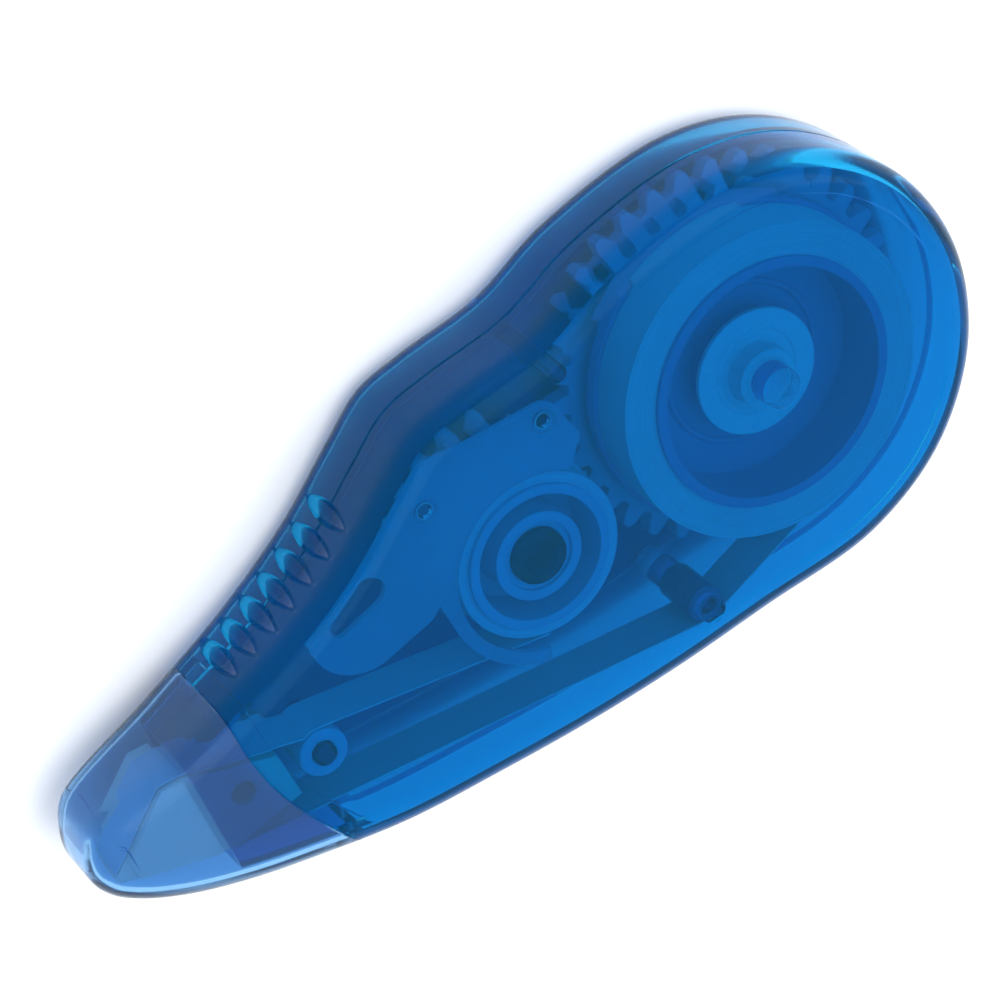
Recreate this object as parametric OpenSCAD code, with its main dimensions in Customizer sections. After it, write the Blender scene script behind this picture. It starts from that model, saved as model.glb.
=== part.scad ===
// Correction tape roller: clear two-part case, pull-off tip cap, geared supply
// and take-up reels with a slip clutch, tape path and applicator head.
// Millimetres. +X tip to big end, +Y grip edge, +Z front cover, back on z = 0.

/* [Overall] */
// Length over the cap, along X
case_length = 97.7; // [82:0.1:118]
// Height of the case, along Y
case_height = 43.7; // [37:0.1:53]
// Width of the correction tape; the case thickness follows it
tape_width = 5; // [4.2:0.1:6]

/* [Case] */
// Wall thickness round the case
wall = 1.4; // [1.2:0.05:1.7]
// Thickness of the flat back and front
face_wall = 1.3; // [1.1:0.05:1.6]
// Rounding of the case's outer edges
edge_radius = 2.8; // [2:0.1:3.2]
// Wall of the tip cap
cap_wall = 1.0; // [0.8:0.05:1.2]
// Gap between the cap and the nose it fits over
cap_gap = 0.2; // [0.12:0.02:0.3]

/* [Gears and reels] */
// Teeth on the supply gear
supply_teeth = 36; // [30:2:40]
// Teeth on the take-up gear
takeup_teeth = 18; // [16:2:20]
// Radial clearance of every turning fit
run_gap = 0.05; // [0.02:0.01:0.1]
// Radius of the supply spool's drum
drum_r = 12.3; // [11:0.1:13]
// Outer radius of the unused tape roll
roll_r = 15.5; // [14:0.1:16.2]
// Outer radius of the used tape
used_r = 8.2; // [7.4:0.1:8.6]

/* [Hidden] */
$fn = 64;

// Scale of the outline and of the mechanism when the overall sizes change
sx = case_length/97.7;
sy = case_height/43.7;
g = min(sx, sy);

// Levels from the back (z = 0) to the front
gear_z = face_wall + 0.5;
gear_t = 1.8;
ring_z = gear_z + gear_t;
ring_t = 1.2;
web_z = ring_z + ring_t;
web_t = 1.1;
tape_z = web_z + web_t + 0.5;
rim_z = tape_z + tape_width + 0.4;
case_t = rim_z + 1.2 + face_wall;
seam_z = case_t/2;
disc_z = tape_z + tape_width/2 - 0.1;
button_z = disc_z + 1.9;

// Radius of the big end, the room between its wall and the gear's teeth, and how
// far a tooth stands beyond the pitch circle in modules
big_r = 21.85;
tooth_room = 1.65;
tooth_top = 0.8;

// Axes of the two reels: the pitch circles touch
gear_m = (big_r*g - wall - tooth_room)/(supply_teeth/2 + tooth_top);
axis_dist = gear_m*(supply_teeth + takeup_teeth)/2;
sup = [case_length/2 - 21.55*g, -1.0*g];
tku = sup - axis_dist*[cos(2.12), sin(2.12)];

// Fixed points of the tape path
head_peg = [-33.4*sx, -4.7*sy];
roll_c = [-25.4*sx, -6.2*sy];
roll_or = 2.4*g;
post_c = [sup[0] - 14.6*g, sup[1] - 16.6*g];
post_r = 1.8*g;
post_ri = 0.8*g;
thin_c = [sup[0] - 18.4*g, sup[1] + 14.6*g];
tape_t = 0.15;
nose_x = -37*sx;

// ---------- outline ----------
// Hand-set points of the lower edge from the tip, then the big end's arc, then
// the grip edge back to the tip; a centripetal curve runs through them.
lower = [[-48.85, -3.6], [-48.1, -5.75], [-46.1, -7.9], [-42.2, -10.5], [-37, -12.9],
         [-30, -15.3], [-22, -17.6], [-12.5, -19.2], [-3, -20.5], [7, -21.3],
         [17.5, -21.5]];
upper = [[16.5, 20.9], [8, 18.4], [-0.5, 18.0], [-5.5, 17.3], [-10.5, 14.3],
         [-17.5, 9.8], [-26, 6.3], [-36, 3.7], [-46.6, 1.35], [-48.3, -1.0]];
big_end = [for (a = [-81:27:81])
  [case_length/2 - big_r*sy*(1 - cos(a)), big_r*sy*sin(a)]];
function scaled(points) = [for (p = points) [p[0]*sx, p[1]*sy]];
ctrl = concat(scaled(lower), big_end, scaled(upper));
nc = len(ctrl);
sub = 3;

function knot(a, b) = pow(max(norm(a - b), 0.001), 0.5);
function mix(a, b, ta, tb, t) = (a*(tb - t) + b*(t - ta))/(tb - ta);
function curve(a, b, c, d, u) =
  let (t1 = knot(a, b), t2 = t1 + knot(b, c), t3 = t2 + knot(c, d), t = t1 + (t2 - t1)*u,
       p = mix(a, b, 0, t1, t), q = mix(b, c, t1, t2, t), r = mix(c, d, t2, t3, t))
  mix(mix(p, q, 0, t2, t), mix(q, r, t1, t3, t), t1, t2, t);
outline = [for (i = [0:nc - 1]) for (k = [0:sub - 1])
  curve(ctrl[(i + nc - 1) % nc], ctrl[i], ctrl[(i + 1) % nc], ctrl[(i + 2) % nc], k/sub)];
np = len(outline);
function unit(v) = v/norm(v);
function turn(v) = [-v[1], v[0]];
inward = [for (i = [0:np - 1])
  turn(unit(outline[(i + 1) % np] - outline[(i + np - 1) % np]))];

// The back face rises and the front face drops a little towards the tip
function taper(x) = pow(max(0, (-17.5*sx - x)/(31.35*sx)), 1.4);
function back_z(x) = 3.3*taper(x);
function front_z(x) = case_t - 0.7*taper(x);

// Points used: the whole outline, or only the tip's end of it
whole = [for (i = [0:np - 1]) i];
tip_n = 7*sub;
tip_pts = concat([for (i = [0:tip_n]) i], [for (i = [np - tip_n:np - 1]) i]);

// A ring of points inset by d; side -1 measures dz up from the back face,
// side 1 down from the front face, side 0 puts dz as the level itself
function ring(idx, d, side, dz) = [for (i = idx)
  let (p = outline[i] + d*inward[i])
  [p[0], p[1], side < 0 ? back_z(outline[i][0]) + dz
             : side > 0 ? front_z(outline[i][0]) - dz : dz]];
function fillet(idx, base, r, side, angles) = [for (a = angles)
  ring(idx, base + r*(1 - cos(a)), side, base + r*(1 - sin(a)))];

module skin(rings) {
  n = len(rings[0]);
  m = len(rings);
  pts = [for (r = rings) for (p = r) p];
  first = [for (i = [0:floor(n/2) - 1])
    let (b = i + 1, c = n - i - 1, d = (n - i) % n)
    each concat(i != d ? [[i, b, d]] : [], b != c ? [[b, c, d]] : [])];
  last = [for (f = first) [f[2] + (m - 1)*n, f[1] + (m - 1)*n, f[0] + (m - 1)*n]];
  side = [for (j = [0:m - 2]) for (i = [0:n - 1])
    let (a = j*n + i, b = j*n + (i + 1) % n)
    each [[a, b + n, b], [a, a + n, b + n]]];
  polyhedron(points = pts, faces = concat(first, side, last), convexity = 8);
}

// Solid between two inset faces, rounded at both
module body_solid(idx, base, r) {
  skin(concat(fillet(idx, base, r, -1, [90, 60, 30, 0]),
              fillet(idx, base, r, 1, [0, 30, 60, 90])));
}

// Region boundaries across the tip: x of the cap's rear edge at height y
function cap_x(y) = (-32 + 0.0175*pow(max(0, 2 - y/sy), 2))*sx;
module behind_cap(shift) {
  translate([0, 0, -1]) linear_extrude(case_t + 2) polygon(concat(
    [for (y = [-26:3:1]) [cap_x(y*sy) + shift, y*sy]],
    [[cap_x(2*sy) + shift, 14*sy], [case_length, 40*sy], [case_length, -40*sy]]));
}
module before_cap() {
  translate([0, 0, -1]) linear_extrude(case_t + 2) polygon(concat(
    [[-case_length, -40*sy]], [for (y = [-26:3:1]) [cap_x(y*sy), y*sy]],
    [[cap_x(2*sy), 14*sy], [-case_length, 14*sy]]));
}
module nose_slab(shift) {
  translate([0, 0, -1]) linear_extrude(case_t + 2) polygon(concat(
    [[nose_x, -26*sy]], [for (y = [-26:3:1]) [cap_x(y*sy) + shift, y*sy]],
    [[cap_x(2*sy) + shift, 14*sy], [nose_x, 14*sy]]));
}

module rod(c, r, z0, z1) {
  translate([c[0], c[1], z0]) cylinder(r = r, h = z1 - z0);
}
module tube(c, ri, ro, z0, z1) {
  translate([c[0], c[1], z0]) linear_extrude(z1 - z0) difference() {
    circle(r = ro);
    circle(r = ri);
  }
}

// ---------- case ----------
neck_d = cap_wall + cap_gap;
neck_w = 0.8;

module back_skin(idx, d, w, f, r) {
  skin(concat(fillet(idx, d, r, -1, [90, 60, 30, 0]),
    [ring(idx, d, 0, seam_z), ring(idx, d + w, 0, seam_z),
     ring(idx, d + w, -1, d + f + 0.9), ring(idx, d + w + 0.9, -1, d + f)]));
}
module front_skin(idx, d, w, f, r) {
  skin(concat([ring(idx, d + w + 0.9, 1, d + f), ring(idx, d + w, 1, d + f + 0.9),
    ring(idx, d + w, 0, seam_z), ring(idx, d, 0, seam_z)],
    fillet(idx, d, r, 1, [0, 30, 60, 90])));
}

// Leaf-shaped grip hollows across the seam on the grip edge: pointed spindles
// whose axes stand just outside the wall
grip_n = 7;
grip_step = 2.42;
grip_r = 1.1;
grip_depth = 0.5;
grip_edge = [for (i = [np - 1:-1:np - 8*sub]) outline[i]];
function grip_y(x) = lookup(x, grip_edge);
module grips() {
  for (i = [0:grip_n - 1]) {
    x = (-28.7 + grip_step*i)*sx;
    slope = atan2(grip_y(x + 0.5) - grip_y(x - 0.5), 1);
    translate([x, grip_y(x), seam_z]) rotate([0, 0, slope]) translate([0, grip_r - grip_depth, 0])
      rotate_extrude($fn = 24) polygon([[0, -4.3], [0.62, -2.9], [1, -1.3], [grip_r, 0],
                                        [1, 1.3], [0.62, 2.9], [0, 4.3]]);
  }
}

module back_shell() color([0.02, 0.36, 0.68, 0.55]) union() {
  difference() {
    intersection() {
      back_skin(whole, 0, wall, face_wall, edge_radius);
      behind_cap(0.12);
    }
    grips();
  }
  intersection() {
    back_skin(tip_pts, neck_d, neck_w, neck_w, edge_radius - neck_d);
    nose_slab(2.2);
  }
  // supply spindle on its shoulder, ending just under the hub cap
  rod(sup, 5.2*g, face_wall - 0.2, gear_z);
  rod(sup, 2.5*g - run_gap, face_wall, disc_z - 0.7);
  // take-up spindle
  rod(tku, 4.6*g, face_wall - 0.2, gear_z);
  difference() {
    rod(tku, 2.75*g - run_gap, face_wall, rim_z);
    rod(tku, 1.7*g, rim_z - 3, rim_z + 1);
  }
  // roller pin on its shoulder
  rod(roll_c, 2.0*g, face_wall - 0.2 + back_z(roll_c[0]), tape_z - 0.3);
  rod(roll_c, 1.1*g, face_wall, rim_z + 0.3);
  // seat and peg of the applicator head
  rod(head_peg, 2.0*g, back_z(head_peg[0]) + neck_d + 0.3, tape_z - 0.5);
  rod(head_peg, 1.2*g, back_z(head_peg[0]) + neck_d + 0.5, tape_z + tape_width - 0.6);
  // shoulder and pin of the lower roller
  rod(post_c, 1.5*g, face_wall - 0.2, tape_z - 0.3);
  rod(post_c, post_ri, face_wall, rim_z - 0.2);
  // thin post near the grip edge
  rod(thin_c, 0.9*g, face_wall - 0.2, rim_z + 0.2);
}

module front_cover() color([0.02, 0.42, 0.76, 0.5]) union() {
  difference() {
    intersection() {
      front_skin(whole, 0, wall, face_wall, edge_radius);
      behind_cap(0.12);
    }
    grips();
  }
  intersection() {
    front_skin(tip_pts, neck_d, neck_w, neck_w, edge_radius - neck_d);
    nose_slab(2.2);
  }
  // stub over the hub cap's button, which keeps the big reel on its spindle
  rod(sup, 2*g, button_z + 0.15, case_t - face_wall + 0.2);
  // stub that keeps the lower roller on its pin
  rod(post_c, 1.3*g, rim_z - 0.1, case_t - face_wall + 0.2);
  // stepped pins that hold the light plate just under the cover
  for (p = plate_pins) {
    rod(p, plate_pin_r + 0.4, plate_z + plate_t, case_t - face_wall + 0.2);
    rod(p, plate_pin_r, plate_z, case_t - face_wall + 0.1);
  }
}

// Light plate under the cover: a tongue with a tilted slot at the left, and an
// arm that half rings the take-up reel; it keeps clear of the case wall
plate_z = rim_z + 0.25;
plate_t = 0.7;
tongue_c = [-17.2*sx, 4.3*sy];
shoulder_c = [-8*sx, 11.1*sy];
module plate_shape() {
  difference() {
    union() {
      hull() {
        translate(tongue_c) circle(r = 5.2*g);
        translate(shoulder_c) circle(r = 3.2*g);
        translate([-12.2*sx, 2.4*sy]) circle(r = 2.6*g);
      }
      hull() {
        translate(shoulder_c) circle(r = 3.2*g);
        translate([5.6*sx, 11*sy]) circle(r = 1.7*g);
        translate(tku) circle(r = 10.2*g);
      }
    }
    translate(tku) circle(r = 8.9*g);
    translate(tku) polygon([[0, 0], for (a = [-110:40:50]) 20*g*[cos(a), sin(a)]]);
    hull() {
      translate([-19.1*sx, 4.9*sy]) circle(r = 0.9*g);
      translate([-15.3*sx, 6.2*sy]) circle(r = 1.5*g);
    }
  }
}
plate_pins = [[-7.6*sx, 10.2*sy], [5.6*sx, 11*sy]];
plate_pin_r = 0.7*g;
module inner_plate() color([0.12, 0.5, 0.8, 0.8]) {
  difference() {
    translate([0, 0, plate_z]) linear_extrude(plate_t) intersection() {
      plate_shape();
      polygon([for (p = ring(whole, wall + 1.1, 0, 0)) [p[0], p[1]]]);
    }
    for (p = plate_pins) rod(p, plate_pin_r + 0.02, rim_z, rim_z + 3);
  }
}

// ---------- applicator head and cap ----------
// Wedge with a rounded pressing edge, wider than the tape where it stands proud
// of the nose; its rear end narrows and sits on the peg
module applicator_head() color([0.75, 0.82, 0.92]) {
  difference() {
    union() {
      translate([0, 0, tape_z - 0.5]) linear_extrude(tape_width + 0.6) polygon([
        [-46.9*sx, -4.6*sy], [-39.7*sx, 0.6*sy], [-37.5*sx, 0.3*sy], [-29.2*sx, -3.4*sy],
        [-28.9*sx, -8.4*sy], [-36.5*sx, -9.1*sy], [-46.9*sx, -5.1*sy]]);
      // flanges beside the tape, set back from the pressing edge
      translate([0, 0, tape_z - 1.6]) linear_extrude(tape_width + 2.2) polygon([
        [-45.2*sx, -3.38*sy], [-39.7*sx, 0.6*sy], [-37.6*sx, 0.31*sy],
        [-37.6*sx, -8.66*sy], [-45.2*sx, -5.74*sy]]);
      translate([-46.85*sx, -4.85*sy, tape_z - 0.5]) cylinder(r = 0.27, h = tape_width + 0.6);
    }
    rod(head_peg, 1.2*g + 0.02, 0, case_t);
  }
}

module tip_cap() color([0.35, 0.5, 0.8, 0.5]) {
  difference() {
    intersection() {
      body_solid(tip_pts, 0, edge_radius);
      before_cap();
    }
    body_solid(tip_pts, cap_wall, edge_radius - cap_wall);
  }
}

// ---------- reels ----------
// Spur gear: straight-flanked teeth on a root disc
module gear_shape(teeth, shift) {
  m = gear_m;
  rp = m*teeth/2;
  rr = rp - 1.15*m;
  ra = rp + tooth_top*m;
  q = 360/teeth;
  polygon([for (i = [0:teeth - 1]) for (s = [[-0.36, rr], [-0.235, rp], [-0.11, ra],
    [0.11, ra], [0.235, rp], [0.36, rr]])
    let (a = shift + q*(i + s[0]))
    [s[1]*cos(a), s[1]*sin(a)]]);
}
mesh_a = atan2(sup[1] - tku[1], sup[0] - tku[0]);

module supply_gear() color([0.3, 0.62, 0.86]) {
  difference() {
    union() {
      translate([sup[0], sup[1], gear_z]) linear_extrude(gear_t)
        gear_shape(supply_teeth, mesh_a + 180);
      rod(sup, 4*g, gear_z + 0.2, disc_z - 0.6);
    }
    rod(sup, 2.5*g, 0, case_t);
    for (a = [0:60:300])
      rod(sup + 9.6*g*[cos(a), sin(a)], 2.4*g, 0, ring_z + 1);
  }
}

module clutch_ring() color([0.1, 0.1, 0.12])
  tube(sup, 4*g, 6.2*g, ring_z, web_z);

module supply_spool() color([0.05, 0.35, 0.62]) {
  // web running on the gear's hub
  tube(sup, 4*g + run_gap, (drum_r - 0.5)*g, web_z, web_z + web_t);
  // collar under the hub cap
  tube(sup, 4*g + run_gap, 5.4*g, web_z + web_t - 0.2, disc_z - 1.9);
  // drum and the flange below the tape
  tube(sup, (drum_r - 1)*g, drum_r*g, web_z, rim_z);
  tube(sup, (drum_r - 0.2)*g, (roll_r + 0.4)*g, web_z + 0.2, tape_z);
}

module tape_roll() color([0.93, 0.95, 0.97])
  tube(sup, drum_r*g, roll_r*g, tape_z, tape_z + tape_width);

// Cyan disc pressed on the gear's hub, over the end of the spindle, with a raised
// button in the middle; its skirt keeps the spool down
module hub_cap() color([0.0, 0.6, 0.85]) {
  tube(sup, 4*g, 5.2*g, disc_z - 1.8, disc_z - 0.5);
  rod(sup, 6.25*g, disc_z - 0.6, disc_z - 0.05);
  rod(sup, 3*g, disc_z - 0.3, button_z);
}

module take_up_reel() color([0.2, 0.55, 0.82]) {
  difference() {
    union() {
      translate([tku[0], tku[1], gear_z]) linear_extrude(gear_t)
        gear_shape(takeup_teeth, mesh_a + 180/takeup_teeth);
      rod(tku, 7.15*g, gear_z + 0.2, rim_z);
      rod(tku, 8.6*g, tape_z - 0.9, tape_z);
    }
    rod(tku, 2.75*g, 0, case_t);
    tube(tku, 4.4*g, 6.2*g, tape_z, case_t);
  }
}

module used_tape() color([0.8, 0.85, 0.9])
  tube(tku, 7.15*g, used_r*g, tape_z, tape_z + tape_width);

module lower_roller() color([0.05, 0.3, 0.55])
  tube(post_c, post_ri + run_gap, post_r, tape_z - 0.25, rim_z - 0.2);

module guide_roller() color([0.25, 0.55, 0.8])
  tube(roll_c, 1.1*g + run_gap, roll_or, tape_z - 0.25, tape_z + tape_width + 0.15);

// ---------- tape ----------
// A strip of tape through a list of points
module strip(pts) {
  n = len(pts);
  nrm = [for (i = [0:n - 1]) turn(unit(pts[min(i + 1, n - 1)] - pts[max(i - 1, 0)]))];
  translate([0, 0, tape_z + 0.05]) linear_extrude(tape_width - 0.1) polygon(concat(
    [for (i = [0:n - 1]) pts[i] - nrm[i]*tape_t/2],
    [for (i = [n - 1:-1:0]) pts[i] + nrm[i]*tape_t/2]));
}
function arc(c, r, a0, a1, n) = [for (i = [0:n]) c + r*[cos(a0 + (a1 - a0)*i/n),
                                                       sin(a0 + (a1 - a0)*i/n)]];

lift = 0.1 + tape_t/2;
module supply_tape_run() color([0.95, 0.96, 0.98])
  strip(concat([sup + (roll_r*g + lift)*[cos(-101), sin(-101)]],
    arc(post_c, post_r + lift, -82, -104, 4),
    [[-36.4*sx, -9.1*sy - lift], [-46.7*sx, -5.15*sy - lift]]));

module return_tape_run() color([0.7, 0.78, 0.88])
  strip(concat([[-46.7*sx, -4.45*sy + lift], [-39.75*sx, 0.65*sy + lift], [-37.4*sx, 0.35*sy + lift]],
    arc(roll_c, roll_or + lift, 112, 76, 5),
    [tku + (used_r*g + lift)*[cos(-105), sin(-105)]]));

back_shell();
front_cover();
inner_plate();
applicator_head();
tip_cap();
supply_gear();
clutch_ring();
supply_spool();
tape_roll();
hub_cap();
take_up_reel();
used_tape();
guide_roller();
lower_roller();
supply_tape_run();
return_tape_run();
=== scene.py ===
import math

import bmesh
import bpy
from mathutils import Matrix, Vector


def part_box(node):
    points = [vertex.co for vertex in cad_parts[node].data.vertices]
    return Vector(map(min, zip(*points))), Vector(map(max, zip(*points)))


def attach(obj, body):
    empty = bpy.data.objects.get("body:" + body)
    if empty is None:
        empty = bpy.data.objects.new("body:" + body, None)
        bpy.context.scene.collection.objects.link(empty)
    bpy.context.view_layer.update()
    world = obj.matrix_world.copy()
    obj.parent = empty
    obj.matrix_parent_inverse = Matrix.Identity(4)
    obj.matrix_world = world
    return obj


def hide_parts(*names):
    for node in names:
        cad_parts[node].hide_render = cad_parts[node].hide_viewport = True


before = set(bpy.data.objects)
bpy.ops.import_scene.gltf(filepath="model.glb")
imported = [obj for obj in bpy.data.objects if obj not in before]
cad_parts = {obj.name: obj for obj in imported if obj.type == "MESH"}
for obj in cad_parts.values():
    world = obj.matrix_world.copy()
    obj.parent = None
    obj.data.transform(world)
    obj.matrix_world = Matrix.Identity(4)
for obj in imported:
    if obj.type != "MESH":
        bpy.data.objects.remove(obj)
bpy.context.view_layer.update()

# ---------------------------------------------------------------- studio
# A pale table, large soft lamps and a long lens that looks down on the front
# cover from beyond the grip edge, with the object's tip turned to lower left.
MM = 0.001
scene = bpy.context.scene

towards_camera = Vector((-0.212, 0.578, 0.788)).normalized()
camera_up = Vector((0.556, 0.734, -0.389))
camera_up = (camera_up - camera_up.dot(towards_camera) * towards_camera).normalized()
camera_right = camera_up.cross(towards_camera)
aim_point = Vector((0.80, 1.55, 6.23)) * MM
camera_distance = 338.7 * MM

lens = bpy.data.cameras.new("long_lens")
lens.lens = 135
lens.sensor_width = 36
lens.clip_start = 0.01
camera = bpy.data.objects.new("camera", lens)
turned = Matrix((camera_right, camera_up, towards_camera)).transposed()
camera.matrix_world = Matrix.Translation(
    aim_point + towards_camera * camera_distance) @ turned.to_4x4()
scene.collection.objects.link(camera)
scene.camera = camera

scene.world = bpy.data.worlds.new("pale_room")
scene.world.use_nodes = True
room = scene.world.node_tree.nodes["Background"]
room.inputs["Color"].default_value = (0.95, 0.97, 1.0, 1)
room.inputs["Strength"].default_value = 1.12
scene.view_settings.view_transform = "Standard"


def add_lamp(name, place, size, watts):
    lamp = bpy.data.lights.new(name, "AREA")
    lamp.shape = "RECTANGLE"
    lamp.size, lamp.size_y = size
    lamp.energy = watts
    holder = bpy.data.objects.new(name, lamp)
    holder.location = place
    holder.rotation_euler = (-Vector(place)).to_track_quat("-Z", "Y").to_euler()
    scene.collection.objects.link(holder)


add_lamp("overhead_softbox", (0.15, 0.05, 0.60), (0.7, 0.6), 3.0)
add_lamp("far_side_strip", (0.30, 0.55, 0.25), (0.5, 0.2), 0.35)


def as_object(name, edit):
    mesh = bpy.data.meshes.new(name)
    edit.to_mesh(mesh)
    edit.free()
    piece = bpy.data.objects.new(name, mesh)
    scene.collection.objects.link(piece)
    return piece


table_half_width = 1.5
table_drop = 0.2 * MM
table_edit = bmesh.new()
bmesh.ops.create_grid(table_edit, x_segments=2, y_segments=2, size=table_half_width)
bmesh.ops.translate(table_edit, verts=table_edit.verts, vec=(0, 0, -table_drop))
table_top = as_object("table_top", table_edit)
table_paint = bpy.data.materials.new("table_paint")
table_paint.use_nodes = True
table_skin = table_paint.node_tree.nodes["Principled BSDF"]
table_skin.inputs["Base Color"].default_value = (0.97, 0.98, 0.99, 1)
table_skin.inputs["Roughness"].default_value = 0.85
table_top.data.materials.append(table_paint)


# ---------------------------------------------------------------- case shells
# The two halves of the case: clear blue moulded plastic, each a tray with a
# rounded rim that meets the other along the middle of the edge, with a narrow
# nose that the cap fits over and pins moulded inside.
def node_box(node):
    low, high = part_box(node)
    return Vector(low) / MM, Vector(high) / MM


case_low, case_high = node_box("front_cover")
seam_z = case_low.z
case_t = case_high.z
wall, face_wall = 1.4, 1.3
edge_radius = 2.8
cap_wall, cap_gap = 1.0, 0.2
neck_inset = cap_wall + cap_gap
neck_wall = 0.8
nose_x = -37
cap_seat_x = -32

lower_edge = [(-48.85, -3.6), (-48.1, -5.75), (-46.1, -7.9), (-42.2, -10.5), (-37, -12.9),
              (-30, -15.3), (-22, -17.6), (-12.5, -19.2), (-3, -20.5), (7, -21.3),
              (17.5, -21.5)]
big_end = [(27 + 21.85 * math.cos(math.radians(a)), 21.85 * math.sin(math.radians(a)))
           for a in range(-81, 82, 27)]
grip_edge = [(16.5, 20.9), (8, 18.4), (-0.5, 18.0), (-5.5, 17.3), (-10.5, 14.3),
             (-17.5, 9.8), (-26, 6.3), (-36, 3.7), (-46.6, 1.35), (-48.3, -1.0)]
corner_points = [Vector(p) for p in lower_edge + big_end + grip_edge]
SAMPLES = 9


def smooth_step(a, b, c, d, u):
    """A point between b and c on the even curve through a, b, c and d."""
    def knot(p, q):
        return (p - q).length ** 0.5

    def mix(p, q, tp, tq, t):
        return (p * (tq - t) + q * (t - tp)) / (tq - tp)

    t1 = knot(a, b)
    t2 = t1 + knot(b, c)
    t3 = t2 + knot(c, d)
    t = t1 + (t2 - t1) * u
    p, q, r = mix(a, b, 0, t1, t), mix(b, c, t1, t2, t), mix(c, d, t2, t3, t)
    return mix(mix(p, q, 0, t2, t), mix(q, r, t1, t3, t), t1, t2, t)


corner_count = len(corner_points)
outline = [smooth_step(corner_points[i - 1], corner_points[i],
                       corner_points[(i + 1) % corner_count],
                       corner_points[(i + 2) % corner_count], k / SAMPLES)
           for i in range(corner_count) for k in range(SAMPLES)]
count = len(outline)
inward = []
for i in range(count):
    along = (outline[(i + 1) % count] - outline[i - 1]).normalized()
    inward.append(Vector((-along.y, along.x)))
whole = list(range(count))
tip_reach = 7 * SAMPLES
tip_only = list(range(tip_reach + 1)) + list(range(count - tip_reach, count))


taper_start, taper_length, taper_power = -17.5, 31.35, 1.4
back_lift, front_drop = 3.3, 0.7


def taper(x):
    return max(0, (taper_start - x) / taper_length) ** taper_power


def ring(pick, inset, side, depth):
    """The outline moved inwards, on the back face, the front face or at one height."""
    points = []
    for i in pick:
        place = outline[i] + inset * inward[i]
        x = outline[i].x
        z = {-1: back_lift * taper(x) + depth,
             1: case_t - front_drop * taper(x) - depth,
             0: depth}[side]
        points.append(Vector((place.x, place.y, z)))
    return points


def rounded_rim(pick, base, radius, side, steps=8):
    rings = [ring(pick, base + radius + 0.5, side, base)]
    for k in range(steps + 1):
        a = math.radians(90 - 90 * k / steps)
        rings.append(ring(pick, base + radius * (1 - math.cos(a)), side,
                          base + radius * (1 - math.sin(a))))
    return rings


def lofted(name, rings):
    """A closed skin over rings of points, with each end face zipped from the tip."""
    edit = bmesh.new()
    rows = [[edit.verts.new(p * MM) for p in points] for points in rings]
    n = len(rows[0])
    for low_row, high_row in zip(rows, rows[1:]):
        for i in range(n):
            j = (i + 1) % n
            edit.faces.new((low_row[i], low_row[j], high_row[j], high_row[i]))
    for row, upward in ((rows[0], False), (rows[-1], True)):
        a, b = 0, n
        while b - a > 1:
            ahead, behind = row[a + 1], row[b - 1]
            corners = [row[a], ahead if ahead.co.x < behind.co.x else behind, row[b % n]]
            if ahead.co.x < behind.co.x:
                a += 1
            else:
                b -= 1
            if len(set(corners)) == 3:
                edit.faces.new(corners if upward else corners[::-1])
    return as_object(name, edit)


def prism(name, points, z0, z1):
    edit = bmesh.new()
    bottom = [edit.verts.new((x * MM, y * MM, z0 * MM)) for x, y in points]
    top = [edit.verts.new((x * MM, y * MM, z1 * MM)) for x, y in points]
    n = len(points)
    for i in range(n):
        j = (i + 1) % n
        edit.faces.new((bottom[i], bottom[j], top[j], top[i]))
    edit.faces.new(bottom[::-1])
    edit.faces.new(top)
    bmesh.ops.recalc_face_normals(edit, faces=edit.faces)
    return as_object(name, edit)


def cap_edge(y):
    return cap_seat_x + 0.0175 * max(0, 2 - y) ** 2


cap_curve = [(cap_edge(y), y) for y in (3 - 0.5 * k for k in range(59))]


def slab_from_cap_edge(name, shift, far_x):
    """A tall block from the cap's curved rear edge, moved by shift, to far_x."""
    points = [(x + shift, y) for x, y in cap_curve]
    points = [(points[0][0], 30)] + points + [(far_x, -26), (far_x, 30)]
    return prism(name, points, -2, 18)


def softened(profile, radius=0.12, steps=3):
    """Rounds each corner of a closed profile of (radius, height) points."""
    points = [Vector(p) for p in profile]
    out = []
    for i, corner in enumerate(points):
        before = points[i - 1] - corner
        after = points[(i + 1) % len(points)] - corner
        reach = min(radius, before.length * 0.45, after.length * 0.45)
        if corner.x < 0.001 or reach < 0.005:
            out.append(corner)
            continue
        start = corner + before.normalized() * reach
        end = corner + after.normalized() * reach
        for k in range(steps + 1):
            u = k / steps
            out.append(start * (1 - u) ** 2 + corner * 2 * u * (1 - u) + end * u * u)
    return out


def turned_on_lathe(edit, profile, centre, segments=96):
    """Turns a closed profile about a vertical axis; points on the axis are poles."""
    rows = []
    for point in profile:
        if point.x < 0.001:
            rows.append([edit.verts.new((centre[0] * MM, centre[1] * MM, point.y * MM))])
            continue
        row = []
        for k in range(segments):
            a = 2 * math.pi * k / segments
            row.append(edit.verts.new(((centre[0] + point.x * math.cos(a)) * MM,
                                       (centre[1] + point.x * math.sin(a)) * MM,
                                       point.y * MM)))
        rows.append(row)
    faces = []
    for r, row in enumerate(rows):
        other = rows[(r + 1) % len(rows)]
        if len(row) == 1 and len(other) == 1:
            continue
        for k in range(segments):
            m = (k + 1) % segments
            corners = [row[k % len(row)], row[m % len(row)],
                       other[m % len(other)], other[k % len(other)]]
            unique = []
            for corner in corners:
                if corner not in unique:
                    unique.append(corner)
            faces.append(edit.faces.new(unique))
    bmesh.ops.recalc_face_normals(edit, faces=faces)


def lathe_piece(name, profiles, segments=96, soft=0.12):
    edit = bmesh.new()
    for centre, profile in profiles:
        turned_on_lathe(edit, softened(profile, soft), centre, segments)
    return as_object(name, edit)


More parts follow.
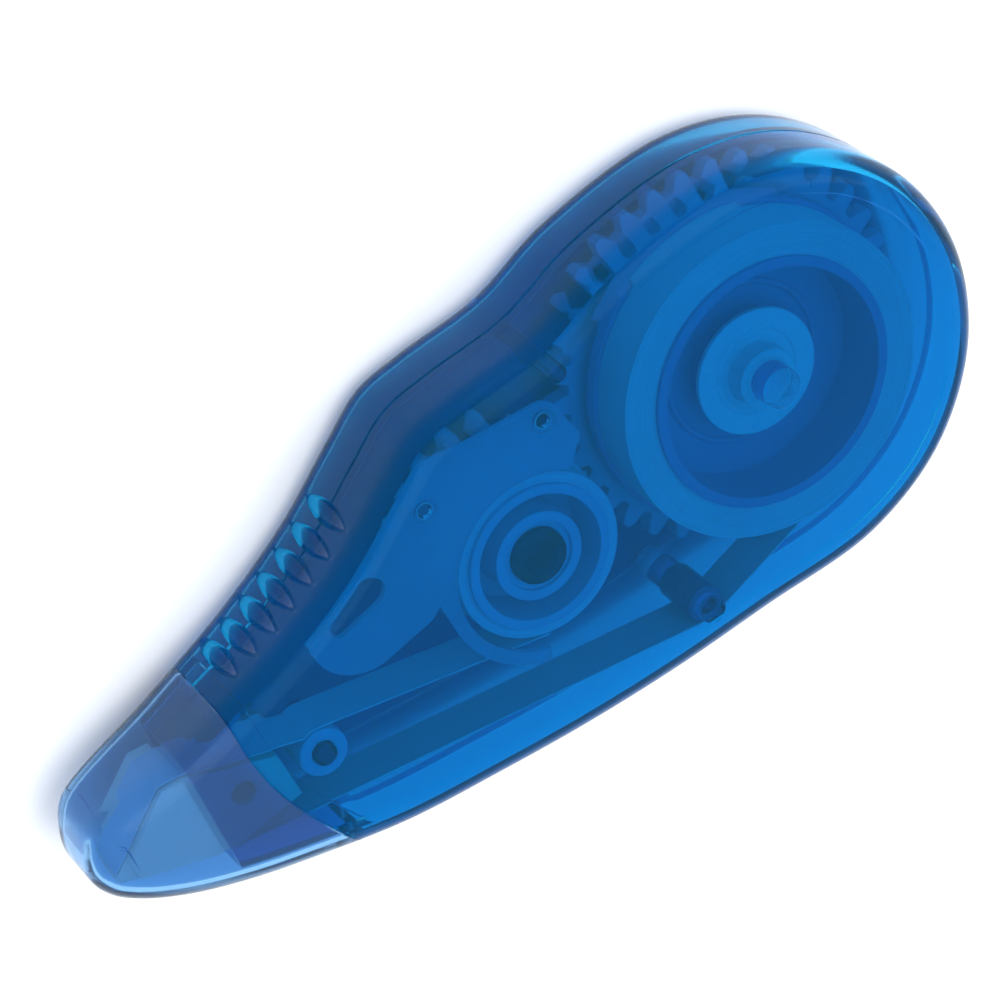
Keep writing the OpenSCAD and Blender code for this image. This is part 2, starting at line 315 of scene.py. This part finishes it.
def baked(piece):
    """Applies the piece's modifiers and leaves a plain mesh."""
    bpy.context.view_layer.update()
    solid = bpy.data.meshes.new_from_object(
        piece.evaluated_get(bpy.context.evaluated_depsgraph_get()))
    piece.modifiers.clear()
    old = piece.data
    piece.data = solid
    bpy.data.meshes.remove(old)


def cut_or_join(piece, tool, operation):
    step = piece.modifiers.new("step", "BOOLEAN")
    step.operation = operation
    step.solver = "MANIFOLD"
    step.object = tool
    baked(piece)
    bpy.data.objects.remove(tool)


def smooth_to(piece, degrees):
    piece.data.shade_smooth()
    piece.data.set_sharp_from_angle(angle=math.radians(degrees))


def shell_half(name, side, pick, base, shell_wall, floor_wall, radius, step=0):
    """A tray open at the seam; step sinks its face a little inside the rounded rim."""
    rim = rounded_rim(pick, base, radius, side)
    if step:
        rim = [ring(pick, base + radius + 1.3, side, base + step),
               ring(pick, base + radius + 0.75, side, base + step),
               ring(pick, base + radius + 0.6, side, base)] + rim[1:]
    lip, half_gap = 0.16, 0.02
    meeting_z = seam_z + side * half_gap
    outer_lip = [ring(pick, base, 0, meeting_z + side * lip),
                 ring(pick, base + lip, 0, meeting_z)]
    inner = [ring(pick, base + shell_wall, 0, meeting_z),
             ring(pick, base + shell_wall, side, base + floor_wall + 0.9),
             ring(pick, base + shell_wall + 0.26, side, base + floor_wall + 0.26),
             ring(pick, base + shell_wall + 0.9, side, base + floor_wall),
             ring(pick, base + shell_wall + 1.4, side, base + floor_wall)]
    rings = rim + outer_lip + inner
    return lofted(name, rings if side < 0 else rings[::-1])


def grip_height(x):
    """How far out the grip edge of the case stands at x."""
    edge = sorted((outline[i].x, outline[i].y) for i in range(count // 2, count)
                  if outline[i].x < 0)
    for (x0, y0), (x1, y1) in zip(edge, edge[1:]):
        if x0 <= x <= x1:
            return y0 + (y1 - y0) * (x - x0) / (x1 - x0)
    return edge[-1][1]


def grip_cutters():
    """Seven pointed spindles that stand just outside the wall, across the seam."""
    edit = bmesh.new()
    grips, first_x, spacing = 7, -28.7, 2.42
    grip_r, grip_depth, half = 1.05, 0.85, 4.4
    for k in range(grips):
        x = first_x + spacing * k
        y = grip_height(x)
        slope = math.atan2(grip_height(x + 0.5) - grip_height(x - 0.5), 1)
        out = grip_r - grip_depth
        centre = (x - out * math.sin(slope), y + out * math.cos(slope))
        profile = [Vector((grip_r * math.cos(math.pi / 2 * t / 10) ** 0.8,
                           seam_z + half * t / 10)) for t in range(-9, 10)]
        profile = [Vector((0, seam_z - half))] + profile + [Vector((0, seam_z + half))]
        turned_on_lathe(edit, profile, centre, 32)
    return as_object("grip_cutters", edit)


supply_low, supply_high = node_box("supply_gear")
supply_axis = (supply_low + supply_high).xy / 2
take_low, take_high = node_box("used_tape")
take_axis = (take_low + take_high).xy / 2
roller_low, roller_high = node_box("guide_roller")
roller_axis = (roller_low + roller_high).xy / 2
low_roller_low, low_roller_high = node_box("lower_roller")
low_roller_axis = (low_roller_low + low_roller_high).xy / 2
roll_low, roll_high = node_box("tape_roll")
spool_low, spool_high = node_box("supply_spool")
tape_z, tape_top = roll_low.z, roll_high.z
rim_z = spool_high.z
gear_z = supply_low.z
button_z = node_box("hub_cap")[1].z
disc_z = (tape_z + tape_top) / 2 - 0.1
head_peg = (-33.4, -4.7)
thin_post = (supply_axis.x - 18.4, supply_axis.y + 14.6)
floor_z = face_wall - 0.2


def post(radius, pin, shoulder_z, top, start=floor_z):
    """The profile of a post with a thinner pin above its shoulder."""
    return [(0, start), (radius, start), (radius, shoulder_z), (pin, shoulder_z),
            (pin, top), (0, top)]


back_posts = [
    (supply_axis, [(0, floor_z), (5.2, floor_z), (5.2, gear_z), (2.45, gear_z),
                   (2.45, disc_z - 0.7), (0, disc_z - 0.7)]),
    (take_axis, [(0, floor_z), (4.6, floor_z), (4.6, gear_z), (2.7, gear_z), (2.7, rim_z),
                 (1.7, rim_z), (1.7, rim_z - 3), (0, rim_z - 3)]),
    (roller_axis, post(2.0, 1.1, tape_z - 0.3, rim_z + 0.3, floor_z + 0.45)),
    (head_peg, post(2.0, 1.2, tape_z - 0.5, tape_top - 0.6, 2.7)),
    (low_roller_axis, post(1.5, 0.8, tape_z - 0.3, rim_z - 0.2)),
    (thin_post, [(0, floor_z), (0.9, floor_z), (0.9, rim_z + 0.2), (0, rim_z + 0.2)]),
]
ceiling = case_t - face_wall + 0.2
plate_low, plate_high = node_box("inner_plate")
plate_pins = [(-7.6, 10.2), (5.6, 11)]
front_posts = [
    (supply_axis, [(0, button_z + 0.15), (2, button_z + 0.15), (2, ceiling), (0, ceiling)]),
    (low_roller_axis, [(0, rim_z - 0.1), (1.3, rim_z - 0.1), (1.3, ceiling),
                       (0, ceiling)]),
] + [(pin, [(0, plate_low.z), (0.7, plate_low.z), (0.7, plate_high.z), (1.1, plate_high.z),
            (1.1, ceiling), (0, ceiling)]) for pin in plate_pins]


def finished_half(name, side, posts):
    """One half of the case with its nose, its half of the grips and its posts."""
    half = shell_half(name, side, whole, 0, wall, face_wall, edge_radius, 0.16)
    cut_or_join(half, slab_from_cap_edge("behind_cap", 0.12, 60), "INTERSECT")
    nose = shell_half("nose", side, tip_only, neck_inset, neck_wall, neck_wall,
                      edge_radius - neck_inset)
    cut_or_join(nose, slab_from_cap_edge("nose_slab", 2.2, nose_x), "INTERSECT")
    cut_or_join(half, nose, "UNION")
    cut_or_join(half, grip_cutters(), "DIFFERENCE")
    cut_or_join(half, lathe_piece("posts", posts, 64, 0.15), "UNION")
    smooth_to(half, 32)
    return half


def moulded_grain():
    """Faint ripple, speckle and flow of moulded plastic: two masks and a bump height."""
    group = bpy.data.node_groups.new("moulded_grain", "ShaderNodeTree")
    for label, default in (("Ripple Scale", 90.0), ("Speckle Scale", 1400.0),
                           ("Rough Low", 0.05), ("Rough High", 0.12)):
        socket = group.interface.new_socket(label, in_out="INPUT", socket_type="NodeSocketFloat")
        socket.default_value = default
    for label in ("Ripple", "Roughness", "Height"):
        group.interface.new_socket(label, in_out="OUTPUT", socket_type="NodeSocketFloat")
    nodes, links = group.nodes, group.links
    given = nodes.new("NodeGroupInput")
    result = nodes.new("NodeGroupOutput")
    place = nodes.new("ShaderNodeTexCoord")
    ripple = nodes.new("ShaderNodeTexNoise")
    ripple.inputs["Detail"].default_value = 3
    speckle = nodes.new("ShaderNodeTexNoise")
    speckle.inputs["Detail"].default_value = 2
    links.new(place.outputs["Object"], ripple.inputs["Vector"])
    links.new(place.outputs["Object"], speckle.inputs["Vector"])
    links.new(given.outputs["Ripple Scale"], ripple.inputs["Scale"])
    links.new(given.outputs["Speckle Scale"], speckle.inputs["Scale"])
    spread = nodes.new("ShaderNodeMapRange")
    spread.inputs["From Min"].default_value = 0.3
    spread.inputs["From Max"].default_value = 0.7
    links.new(speckle.outputs["Fac"], spread.inputs["Value"])
    links.new(given.outputs["Rough Low"], spread.inputs["To Min"])
    links.new(given.outputs["Rough High"], spread.inputs["To Max"])
    height = nodes.new("ShaderNodeMath")
    height.operation = "MULTIPLY_ADD"
    height.inputs[1].default_value = 0.15
    links.new(speckle.outputs["Fac"], height.inputs[0])
    links.new(ripple.outputs["Fac"], height.inputs[2])
    links.new(ripple.outputs["Fac"], result.inputs["Ripple"])
    links.new(spread.outputs["Result"], result.inputs["Roughness"])
    links.new(height.outputs["Value"], result.inputs["Height"])
    return group


grain = moulded_grain()


def plastic(name, tint, shade, rough=(0.05, 0.12), clear=0.0, bump=0.05, ior=1.46, ripple=90,
            gloss=0.0, glint=(1, 1, 1)):
    """Moulded plastic whose colour drifts between two tints, with a fine surface grain."""
    material = bpy.data.materials.new(name)
    material.use_nodes = True
    nodes, links = material.node_tree.nodes, material.node_tree.links
    skin = nodes["Principled BSDF"]
    skin.inputs["Transmission Weight"].default_value = clear
    skin.inputs["IOR"].default_value = ior
    skin.inputs["Specular Tint"].default_value = (*glint, 1)
    skin.inputs["Coat Weight"].default_value = gloss
    skin.inputs["Coat Roughness"].default_value = 0.06
    texture = nodes.new("ShaderNodeGroup")
    texture.node_tree = grain
    texture.inputs["Ripple Scale"].default_value = ripple
    texture.inputs["Rough Low"].default_value = rough[0]
    texture.inputs["Rough High"].default_value = rough[1]
    drift = nodes.new("ShaderNodeMix")
    drift.data_type = "RGBA"
    drift.inputs["A"].default_value = (*tint, 1)
    drift.inputs["B"].default_value = (*shade, 1)
    links.new(texture.outputs["Ripple"], drift.inputs["Factor"])
    links.new(drift.outputs["Result"], skin.inputs["Base Color"])
    links.new(texture.outputs["Roughness"], skin.inputs["Roughness"])
    relief = nodes.new("ShaderNodeBump")
    relief.inputs["Strength"].default_value = bump
    relief.inputs["Distance"].default_value = 0.1 * MM
    links.new(texture.outputs["Height"], relief.inputs["Height"])
    links.new(relief.outputs["Normal"], skin.inputs["Normal"])
    return material


def fit(piece, body, slot, material, *nodes):
    """Gives a finished piece its material and its body, and hides the nodes it stands for; slot
    is not used.
    """
    piece.data.materials.clear()
    piece.data.materials.append(material)
    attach(piece, body)
    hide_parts(*nodes)


CLEAR_IOR = 1.22
CLEAR_BUMP = 0.012
clear_skin = dict(clear=0.94, bump=CLEAR_BUMP, ior=CLEAR_IOR, gloss=0.04,
                  glint=(0.05, 0.5, 0.95))
back_plastic = plastic("back_blue", (0.015, 0.35, 0.66), (0.012, 0.32, 0.63), **clear_skin)
front_plastic = plastic("cover_blue", (0.015, 0.38, 0.69), (0.012, 0.35, 0.66), **clear_skin)
back_half = finished_half("back_shell_moulding", -1, back_posts)
fit(back_half, "case", "case_blue", back_plastic, "back_shell")
front_half = finished_half("front_cover_moulding", 1, front_posts)
fit(front_half, "case", "cover_blue", front_plastic, "front_cover")

# ---------------------------------------------------------------- tip cap
# The pull-off cap: one thin clear moulding, paler than the case, open at a
# curved rear edge and closed round the pressing edge of the head.
cap = lofted("tip_cap_moulding", rounded_rim(tip_only, 0, edge_radius, -1)
             + rounded_rim(tip_only, 0, edge_radius, 1)[::-1])
cut_or_join(cap, slab_from_cap_edge("cap_front", 0, -60), "INTERSECT")
cap_hollow = lofted("cap_hollow", rounded_rim(tip_only, cap_wall, edge_radius - cap_wall, -1)
                    + rounded_rim(tip_only, cap_wall, edge_radius - cap_wall, 1)[::-1])
cut_or_join(cap, cap_hollow, "DIFFERENCE")
smooth_to(cap, 32)
cap_plastic = plastic("cap_blue", (0.22, 0.46, 0.75), (0.19, 0.43, 0.72), clear=0.93,
                      bump=CLEAR_BUMP, ior=CLEAR_IOR, gloss=0.1, glint=(0.3, 0.6, 0.95))
fit(cap, "cap", "cap_blue", cap_plastic, "tip_cap")

# ---------------------------------------------------------------- light plate
# Thin moulded plate pinned under the cover: a tongue with a slot beside a round
# window over the take-up reel, with its face sunk a little inside a narrow rim.
def round_over(piece, width, steps, degrees):
    """Rounds every edge that turns by more than the given angle."""
    bevel = piece.modifiers.new("round_over", "BEVEL")
    bevel.width = width * MM
    bevel.segments = steps
    bevel.limit_method = "ANGLE"
    bevel.angle_limit = math.radians(degrees)
    baked(piece)


plate_plastic = plastic("plate_blue", (0.45, 0.74, 0.92), (0.40, 0.70, 0.90), (0.10, 0.14),
                        0.5, 0.01, 1.2)
plate_edit = bmesh.new()
plate_edit.from_mesh(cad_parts["inner_plate"].data)
bmesh.ops.remove_doubles(plate_edit, verts=plate_edit.verts, dist=0.001 * MM)
plate_face = [face for face in plate_edit.faces
              if face.normal.z > 0.9 and face.calc_center_median().z > (plate_high.z - 0.1) * MM]
plate_rim, plate_sink = 0.45 * MM, 0.14 * MM
bmesh.ops.inset_region(plate_edit, faces=plate_face, thickness=plate_rim, depth=-plate_sink,
                       use_even_offset=True)
plate = as_object("inner_plate_moulding", plate_edit)
round_over(plate, 0.07, 2, 50)
smooth_to(plate, 35)
fit(plate, "case", "plate_blue", plate_plastic, "inner_plate")

# ---------------------------------------------------------------- gears
# Spur gears moulded in pale plastic: a web with a hub and a ring of teeth.
GEAR_MODULE = 1.0
SUPPLY_TEETH, TAKE_UP_TEETH = 36, 18


def tooth_ring():
    """Repeats one tooth round a circle: a turn for each point, made real, with its material."""
    tree = bpy.data.node_groups.new("tooth_ring", "GeometryNodeTree")
    for label, kind, way in (("Tooth", "NodeSocketGeometry", "INPUT"),
                             ("Teeth", "NodeSocketInt", "INPUT"),
                             ("Phase", "NodeSocketFloat", "INPUT"),
                             ("Plastic", "NodeSocketMaterial", "INPUT"),
                             ("Ring", "NodeSocketGeometry", "OUTPUT")):
        tree.interface.new_socket(label, in_out=way, socket_type=kind)
    nodes, links = tree.nodes, tree.links
    given = nodes.new("NodeGroupInput")
    result = nodes.new("NodeGroupOutput")
    points = nodes.new("GeometryNodePoints")
    number = nodes.new("GeometryNodeInputIndex")
    share = nodes.new("ShaderNodeMath")
    share.operation = "DIVIDE"
    turn = nodes.new("ShaderNodeMath")
    turn.operation = "MULTIPLY_ADD"
    turn.inputs[1].default_value = 2 * math.pi
    angles = nodes.new("ShaderNodeCombineXYZ")
    copies = nodes.new("GeometryNodeInstanceOnPoints")
    real = nodes.new("GeometryNodeRealizeInstances")
    coat = nodes.new("GeometryNodeSetMaterial")
    links.new(given.outputs["Teeth"], points.inputs["Count"])
    links.new(number.outputs["Index"], share.inputs[0])
    links.new(given.outputs["Teeth"], share.inputs[1])
    links.new(share.outputs["Value"], turn.inputs[0])
    links.new(given.outputs["Phase"], turn.inputs[2])
    links.new(turn.outputs["Value"], angles.inputs["Z"])
    links.new(points.outputs["Points"], copies.inputs["Points"])
    links.new(given.outputs["Tooth"], copies.inputs["Instance"])
    links.new(angles.outputs["Vector"], copies.inputs["Rotation"])
    links.new(copies.outputs["Instances"], real.inputs["Geometry"])
    links.new(real.outputs["Geometry"], coat.inputs["Geometry"])
    links.new(given.outputs["Plastic"], coat.inputs["Material"])
    links.new(coat.outputs["Geometry"], result.inputs["Ring"])
    return tree


tooth_tree = tooth_ring()


def set_input(modifier, label, value):
    for item in modifier.node_group.interface.items_tree:
        if item.name == label and item.in_out == "INPUT":
            modifier[item.identifier] = value


def toothed(name, teeth, phase, z0, z1, centre, material):
    """A ring of teeth about centre, with the radius of their roots."""
    pitch_r = GEAR_MODULE * teeth / 2
    root_r, tip_r = pitch_r - 1.15 * GEAR_MODULE, pitch_r + 0.8 * GEAR_MODULE
    step = 2 * math.pi / teeth
    flank = [(-0.36, root_r), (-0.3, root_r + 0.45), (-0.235, pitch_r), (-0.18, pitch_r + 0.42),
             (-0.12, tip_r - 0.08), (-0.09, tip_r)]
    flank += [(-share, r) for share, r in flank[::-1]]
    flank = [(-0.34, root_r - 0.5)] + flank + [(0.34, root_r - 0.5)]
    points = [(r * math.cos(share * step), r * math.sin(share * step)) for share, r in flank]
    tooth = prism("tooth", points, z0, z1)
    ring_step = tooth.modifiers.new("ring", "NODES")
    ring_step.node_group = tooth_tree
    set_input(ring_step, "Teeth", teeth)
    set_input(ring_step, "Phase", phase)
    set_input(ring_step, "Plastic", material)
    baked(tooth)
    tooth.data.transform(Matrix.Translation((centre.x * MM, centre.y * MM, 0)))
    tooth.name = name
    return tooth, root_r


mesh_line = supply_axis - take_axis
mesh_angle = math.atan2(mesh_line.y, mesh_line.x)
gear_width = 1.8
gear_top = gear_z + gear_width
gear_plastic = plastic("gear_pale", (0.30, 0.52, 0.72), (0.26, 0.48, 0.69), (0.3, 0.42))
gear, supply_root = toothed("supply_gear_moulding", SUPPLY_TEETH, mesh_angle + math.pi,
                            gear_z, gear_top, supply_axis, gear_plastic)
gear_web = lathe_piece("gear_web", [(supply_axis, [
    (2.5, gear_z), (supply_root + 0.02, gear_z), (supply_root + 0.02, gear_top),
    (14.6, gear_top), (14.2, gear_top - 0.5), (6.6, gear_top - 0.5), (6.3, gear_top),
    (4.0, gear_top), (4.0, disc_z - 0.6), (2.5, disc_z - 0.6)])], 144)
cut_or_join(gear, gear_web, "UNION")
hole_circle_r, hole_r = 9.6, 2.4
holes = lathe_piece("gear_holes", [
    ((supply_axis.x + hole_circle_r * math.cos(math.radians(a)),
      supply_axis.y + hole_circle_r * math.sin(math.radians(a))),
     [(0, 0), (hole_r, 0), (hole_r, 6), (0, 6)]) for a in range(0, 360, 60)], 48)
cut_or_join(gear, holes, "DIFFERENCE")
smooth_to(gear, 30)
fit(gear, "supply_drive", "gear_pale", gear_plastic, "supply_gear")

reel_plastic = plastic("reel_pale", (0.38, 0.60, 0.78), (0.33, 0.55, 0.75), (0.3, 0.42))
reel, take_root = toothed("take_up_reel_moulding", TAKE_UP_TEETH,
                          mesh_angle + math.pi / TAKE_UP_TEETH,
                          gear_z, gear_top, take_axis, reel_plastic)
reel_body = lathe_piece("reel_body", [(take_axis, [
    (2.75, gear_z), (take_root + 0.02, gear_z), (take_root + 0.02, gear_top), (7.15, gear_top),
    (7.15, tape_z - 0.9), (8.6, tape_z - 0.9), (8.6, tape_z), (7.15, tape_z), (7.15, rim_z),
    (6.2, rim_z), (6.2, tape_z), (4.4, tape_z), (4.4, rim_z - 0.3), (3.4, rim_z - 0.3),
    (3.4, rim_z - 0.7), (2.75, rim_z - 0.7)])], 96)
cut_or_join(reel, reel_body, "UNION")
smooth_to(reel, 30)
fit(reel, "take_up", "reel_pale", reel_plastic, "take_up_reel")

# ---------------------------------------------------------------- slip clutch
# A soft rubber ring squeezed between the gear and the spool's web, so that the
# spool slips when the take-up side pulls faster than it turns.
ring_low, ring_high = node_box("clutch_ring")
rubber = plastic("clutch_rubber", (0.03, 0.03, 0.035), (0.05, 0.05, 0.055), (0.55, 0.75),
                 bump=0.3)
clutch = lathe_piece("clutch_rubber_ring", [(supply_axis, [
    (4.0, ring_low.z), (6.2, ring_low.z), (6.2, ring_high.z), (4.0, ring_high.z)])], 72, 0.4)
smooth_to(clutch, 50)
fit(clutch, "supply_drive", "clutch_rubber", rubber, "clutch_ring")

# ---------------------------------------------------------------- supply spool
# The drum that carries the unused tape: a thin web, a collar on the gear's hub,
# a rim round the drum and a flange under the tape.
drum_r, roll_r = 12.3, 15.5
spool_plastic = plastic("spool_blue", (0.12, 0.36, 0.62), (0.09, 0.32, 0.58), (0.28, 0.4))
web_top = spool_low.z + 1.1
spool = lathe_piece("supply_spool_moulding", [(supply_axis, [
    (4.05, spool_low.z), (roll_r + 0.4, spool_low.z + 0.2), (roll_r + 0.4, tape_z),
    (drum_r, tape_z), (drum_r, rim_z), (drum_r - 1, rim_z), (drum_r - 1, web_top), (8.3, web_top),
    (8.1, web_top + 0.35), (7.7, web_top + 0.35), (7.5, web_top), (5.4, web_top),
    (5.4, disc_z - 1.9), (4.05, disc_z - 1.9)])], 144)
smooth_to(spool, 30)
fit(spool, "spool", "spool_blue", spool_plastic, "supply_spool")

# ---------------------------------------------------------------- wound tape
# Correction tape wound edge to edge; each side face shows the fine rings of its
# turns, and a few turns stand a little proud.
def wound(name, inner, outer, centre, turns_shown, seed):
    """A ring of tape whose faces rise and fall by hundredths of a millimetre."""
    low, high = [], []
    for k in range(turns_shown * 2 + 1):
        r = inner + (outer - inner) * k / (turns_shown * 2)
        wave = 0.045 * (k % 2) + 0.05 * math.sin(seed + 2.1 * k) * math.sin(0.37 * k)
        high.append((r, tape_top - 0.06 + wave * 0.6))
        low.append((r, tape_z + 0.06 - wave * 0.6))
    return lathe_piece(name, [(centre, low + high[::-1])], 144, 0.01)


white_tape = plastic("white_tape", (0.80, 0.76, 0.80), (0.74, 0.71, 0.76), (0.45, 0.6), bump=0.2)
roll = wound("tape_roll_turns", drum_r, roll_r, supply_axis, 16, 0.4)
smooth_to(roll, 60)
fit(roll, "spool", "tape_white", white_tape, "tape_roll")
spent_tape = plastic("spent_tape", (0.62, 0.74, 0.84), (0.56, 0.69, 0.80), (0.3, 0.45), bump=0.2)
used = wound("used_tape_turns", 7.15, 8.2, take_axis, 6, 1.3)
smooth_to(used, 60)
fit(used, "take_up", "tape_spent", spent_tape, "used_tape")

# ---------------------------------------------------------------- hub cap
# Cyan moulded disc pressed on the gear's hub to keep the spool on, with a stepped
# ring in its face and a round button in the middle.
cyan_plastic = plastic("hub_cyan", (0.06, 0.90, 0.92), (0.04, 0.84, 0.88), (0.22, 0.34))
hub = lathe_piece("hub_cap_moulding", [(supply_axis, [
    (4.0, disc_z - 1.8), (5.2, disc_z - 1.8), (5.2, disc_z - 0.6), (6.25, disc_z - 0.6),
    (6.25, disc_z - 0.05), (4.25, disc_z - 0.05), (4.1, disc_z - 0.25), (3.8, disc_z - 0.25),
    (3.65, disc_z - 0.05), (3.1, disc_z - 0.05), (2.95, button_z), (2.2, button_z),
    (2.0, button_z - 0.2), (0, button_z - 0.2), (0, disc_z - 0.6),
    (4.0, disc_z - 0.6)])], 96)
smooth_to(hub, 30)
fit(hub, "supply_drive", "hub_cyan", cyan_plastic, "hub_cap")

# ---------------------------------------------------------------- rollers
# Small plain rollers on moulded pins: a pale one by the head, a dark one below
# the reels.
roller_rough = (0.25, 0.38)
roller_plastic = plastic("roller_pale", (0.5, 0.68, 0.84), (0.44, 0.62, 0.80), roller_rough)
roller = lathe_piece("guide_roller_moulding", [(roller_axis, [
    (1.15, roller_low.z), (2.4, roller_low.z), (2.4, roller_high.z),
    (1.15, roller_high.z)])], 64, 0.2)
smooth_to(roller, 30)
fit(roller, "roller", "roller_pale", roller_plastic, "guide_roller")
dark_plastic = plastic("roller_dark", (0.05, 0.16, 0.34), (0.04, 0.13, 0.30), roller_rough)
low_roller = lathe_piece("lower_roller_moulding", [(low_roller_axis, [
    (0.85, low_roller_low.z), (1.8, low_roller_low.z), (1.8, low_roller_high.z),
    (0.85, low_roller_high.z)])], 48, 0.15)
smooth_to(low_roller, 30)
fit(low_roller, "low_roller", "roller_dark", dark_plastic, "lower_roller")

# ---------------------------------------------------------------- applicator head
# Pale moulded wedge with a narrow rounded pressing edge, on its peg in the nose.
head_low, head_high = node_box("applicator_head")
head_plastic = plastic("head_white", (0.95, 0.85, 0.74), (0.90, 0.81, 0.71), (0.3, 0.42))
head_side = [(-46.95, -4.6), (-39.7, 0.6), (-37.5, 0.3), (-29.2, -3.4), (-28.9, -8.4),
             (-36.5, -9.1), (-46.95, -5.1)]
head_flange = [(-45.2, -3.38), (-39.7, 0.6), (-37.6, 0.31), (-37.6, -8.66), (-45.2, -5.74)]
head = prism("applicator_head_moulding", head_side[::-1], tape_z - 0.5, tape_top + 0.1)
head_flanges = prism("head_flanges", head_flange[::-1], head_low.z, head_high.z)
cut_or_join(head, head_flanges, "UNION")
peg_hole = lathe_piece("peg_hole", [(head_peg, [(0, 0), (1.22, 0), (1.22, 18), (0, 18)])], 48)
cut_or_join(head, peg_hole, "DIFFERENCE")
round_over(head, 0.22, 3, 30)
smooth_to(head, 40)
fit(head, "case", "head_white", head_plastic, "applicator_head")

# ---------------------------------------------------------------- tape runs
# The white strip from the reel to the head's lower face, and the spent backing
# from the upper face over the guide roller to the small reel, both plain strips.
for node, material in (("supply_tape_run", white_tape), ("return_tape_run", spent_tape)):
    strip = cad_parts[node].data
    strip.materials.clear()
    strip.materials.append(material)
